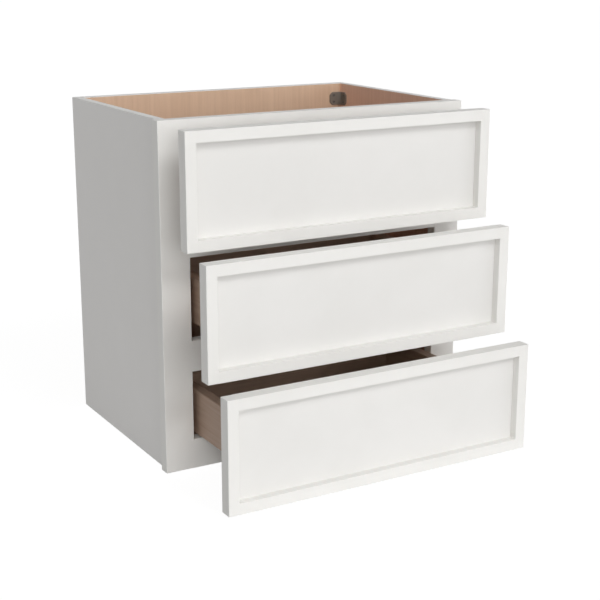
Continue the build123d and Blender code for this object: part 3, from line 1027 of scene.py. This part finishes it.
@dataclass(frozen=True)
class Raceway:
    """Where a slide member holds its nylon strips, measured from its own box."""

    lift: float     # of the member above the slide's seat
    width: float    # of the member
    near: float     # from the member's side to a strip
    far: float      # from the member's side to the strip's other edge
    length: float = 0.150
    rise: tuple[float, float] = (0.0041, 0.0093)

    def holds(self, spot: Vector, low: Vector, high: Vector) -> bool:
        """Whether a spot on the members between two corners lies on a strip."""
        outer = high.x - abs(spot.x)
        beside = min(outer, self.width - outer)
        height = spot.z - low.z + self.lift
        along = spot.y - low.y - AT_FACE
        return (self.near < beside < self.far and self.rise[0] < height < self.rise[1]
                and 0 < along < self.length)


@dataclass
class Slides(DrawerPart):
    """The three members of a drawer's pair of slides, with nylon strips in the raceways."""

    bend: float = 0.0009
    bend_angles: tuple[float, float] = (radians(30), radians(60))
    raceways: tuple[tuple[str, Raceway], ...] = (
        ("fixed", Raceway(0.0, 0.0457, 0.0011, 0.0062)),
        ("middle", Raceway(0.0016, 0.0330, 0.0011, 0.0053)),
    )

    def build_member(self, name: str, body: str) -> None:
        """Makes one pair of members, its bends rounded."""
        node = f"{self.body}_slide_{name}"
        piece = Workpiece.from_node(node)
        low, high = piece.box()
        run = high.y - low.y
        bends = [edge for edge in piece.mesh.edges
                 if len(edge.link_faces) == 2 and edge.calc_length() > ALONG * run
                 and self.bend_angles[0] < edge.calc_face_angle() < self.bend_angles[1]]
        piece.ease(bends, self.bend)
        raceway = dict(self.raceways).get(name)

        def skin(face: Face) -> Skin:
            """Nylon on the strips, steel elsewhere."""
            strip = raceway is not None and raceway.holds(face.calc_center_median(), low, high)
            return Skin.END if strip else Skin.FACE

        piece.dress(skin)
        steel = self.finishes.steel
        piece.place(node, "pair", [steel, steel, self.finishes.nylon], body, "steel")

    def build(self) -> None:
        """Makes all the members."""
        self.build_member("fixed", "case")
        self.build_member("middle", f"slide_{self.drawer}_middle")
        self.build_member("inner", self.body)


@dataclass
class Bumpers(DrawerPart):
    """Four clear domes on the back of a drawer front."""

    rim: int = 24
    radius: float = 0.005
    dome: tuple[tuple[float, float], ...] = (
        (0.0, 0.0), (1.0, 0.0), (1.0, 0.25), (0.93, 0.6), (0.75, 0.86), (0.45, 0.98), (0.0, 1.0),
    )

    def build(self) -> None:
        """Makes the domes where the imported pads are."""
        node = f"{self.body}_bumpers"
        low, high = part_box(node)
        thick = high.y - low.y
        piece = Workpiece()
        for x in (low.x + self.radius, high.x - self.radius):
            for z in (low.z + self.radius, high.z - self.radius):
                profile = [Vector((x + reach * self.radius, low.y + depth * thick, z))
                           for reach, depth in self.dome]
                spin_profile(piece.mesh, profile, Vector((x, low.y, z)), Axis.Y, self.rim)
        bmesh.ops.remove_doubles(piece.mesh, verts=piece.mesh.verts, dist=SAME_SPOT)
        bmesh.ops.recalc_face_normals(piece.mesh, faces=piece.mesh.faces)
        for face in piece.mesh.faces:
            face.smooth = True
        piece.place(node, "domes", [self.finishes.rubber], self.body, "clear_rubber")


# Light and camera


def bearing(turn: float, height: float) -> Vector:
    """The direction at an angle from the front towards the right, and at a height above level."""
    return Vector((sin(turn) * cos(height), -cos(turn) * cos(height), sin(height)))


@dataclass(frozen=True)
class Lamp:
    """A wide, soft light from far away."""

    name: str
    turn: float
    height: float
    softness: float
    level: float

    def build(self) -> None:
        """Makes the light."""
        data = bpy.data.lights.new(self.name, "SUN")
        data.energy = pi * self.level
        data.angle = self.softness
        light = enter(self.name, data)
        light.rotation_euler = bearing(self.turn, self.height).to_track_quat("Z", "Y").to_euler()


@dataclass(frozen=True)
class Studio:
    """A pale floor, soft lights and a white surround."""

    surround: float = 0.17
    floor_bounce: float = 0.8
    floor_fill: float = 0.05
    floor_shade: float = 0.15
    floor_glow: float = 0.94
    floor_size: float = 60.0
    floor_level: float = -0.0002
    lamps: tuple[Lamp, ...] = (
        Lamp("low front light", radians(-12), radians(6), radians(40), 0.355),
        Lamp("low right light", radians(60), radians(5), radians(40), 0.30),
        Lamp("high left light", radians(-38), radians(40), radians(30), 0.165),
        Lamp("high right light", radians(12), radians(40), radians(20), 0.25),
    )

    def seen(self, tree: Tree) -> Socket:
        """1 for rays from the camera, from gloss and through glass, else 0."""
        path = add_node(tree, "LightPath", {}).outputs
        first = combine(tree, "MAXIMUM", path["Is Camera Ray"], path["Is Glossy Ray"])
        return combine(tree, "MAXIMUM", first, path["Is Transmission Ray"])

    def build_surround(self) -> None:
        """Makes the world: white where it is seen, and a level fill light elsewhere."""
        world = bpy.data.worlds.new("white surround")
        world.use_nodes = True
        tree = world.node_tree
        background = tree.nodes["Background"]
        background.inputs["Color"].default_value = (1.0, 1.0, 1.0, 1.0)
        level = remap(tree, self.seen(tree), 0.0, 1.0, self.surround, 1.0)
        tree.links.new(level, background.inputs["Strength"])
        bpy.context.scene.world = world

    def floor_finish(self) -> Material:
        """The floor's material, which glows white where it is seen and bounces light elsewhere."""
        material = bpy.data.materials.new("pale floor")
        material.use_nodes = True
        tree = material.node_tree
        shader = tree.nodes["Principled BSDF"]
        shader.inputs["Roughness"].default_value = 0.9
        shader.inputs["Specular IOR Level"].default_value = 0.0
        shader.inputs["Emission Color"].default_value = (1.0, 1.0, 1.0, 1.0)
        seen = self.seen(tree)
        tone = remap(tree, seen, 0.0, 1.0, self.floor_bounce, self.floor_shade)
        tree.links.new(tone, shader.inputs["Base Color"])
        glow = remap(tree, seen, 0.0, 1.0, self.floor_fill, self.floor_glow)
        tree.links.new(glow, shader.inputs["Emission Strength"])
        return material

    def build_floor(self) -> None:
        """Makes the floor, which is white to the eye and keeps a faint shadow of the cabinet."""
        mesh = bmesh.new()
        bmesh.ops.create_grid(mesh, x_segments=1, y_segments=1, size=self.floor_size / 2)
        bmesh.ops.translate(mesh, verts=mesh.verts, vec=(0.0, 0.0, self.floor_level))
        data = bpy.data.meshes.new("floor")
        mesh.to_mesh(data)
        mesh.free()
        data.materials.append(self.floor_finish())
        floor = enter("floor", data)

    def build(self) -> None:
        """Sets up lights and floor."""
        bpy.context.scene.view_settings.view_transform = "Standard"
        self.build_surround()
        for lamp in self.lamps:
            lamp.build()
        self.build_floor()


@dataclass(frozen=True)
class Viewpoint:
    """The photograph's camera, worked out from its perspective."""

    place: tuple[float, float, float] = (-1.42543, -2.47683, 1.08463)
    turn: float = 0.5276
    tilt: float = -0.2642
    roll: float = 0.0012
    focal_pixels: float = 1276.7
    frame_pixels: float = 600.0
    sensor: float = 36.0
    reach: float = 100.0

    def build(self) -> None:
        """Makes the camera and gives it to the scene."""
        ahead = Vector((sin(self.turn) * cos(self.tilt), cos(self.turn) * cos(self.tilt), sin(self.tilt)))
        level = Vector((cos(self.turn), -sin(self.turn), 0.0))
        up = level.cross(ahead)
        right = cos(self.roll) * level + sin(self.roll) * up
        crown = cos(self.roll) * up - sin(self.roll) * level
        data = bpy.data.cameras.new("photograph view")
        data.sensor_width = self.sensor
        data.lens = self.focal_pixels / self.frame_pixels * self.sensor
        data.clip_end = self.reach
        camera = enter("photograph view", data)
        turned = Matrix((right, crown, -ahead)).transposed().to_4x4()
        camera.matrix_world = Matrix.Translation(self.place) @ turned
        bpy.context.scene.camera = camera


@dataclass
class Cabinet:
    """The whole cabinet, sub-assembly by sub-assembly."""

    finishes: Finishes = field(default_factory=Finishes)

    def build(self) -> None:
        """Builds the case and then each drawer."""
        FaceFrame(self.finishes).build()
        CaseBox(self.finishes).build()
        CornerBrackets(self.finishes).build()
        screws = ScrewHeads(self.finishes)
        screws.build("case_screws", "case")
        for drawer in DRAWERS:
            DrawerFront(drawer, self.finishes).build()
            DrawerBox(drawer, self.finishes).build()
            Slides(drawer, self.finishes).build()
            Bumpers(drawer, self.finishes).build()
            screws.build(f"drawer_{drawer}_screws", f"drawer_{drawer}")


def main() -> None:
    """Builds the scene."""
    logging.basicConfig(level=logging.INFO, format="%(name)s: %(message)s")
    Viewpoint().build()
    Studio().build()
    Cabinet().build()


if __name__ == "__main__":
    main()
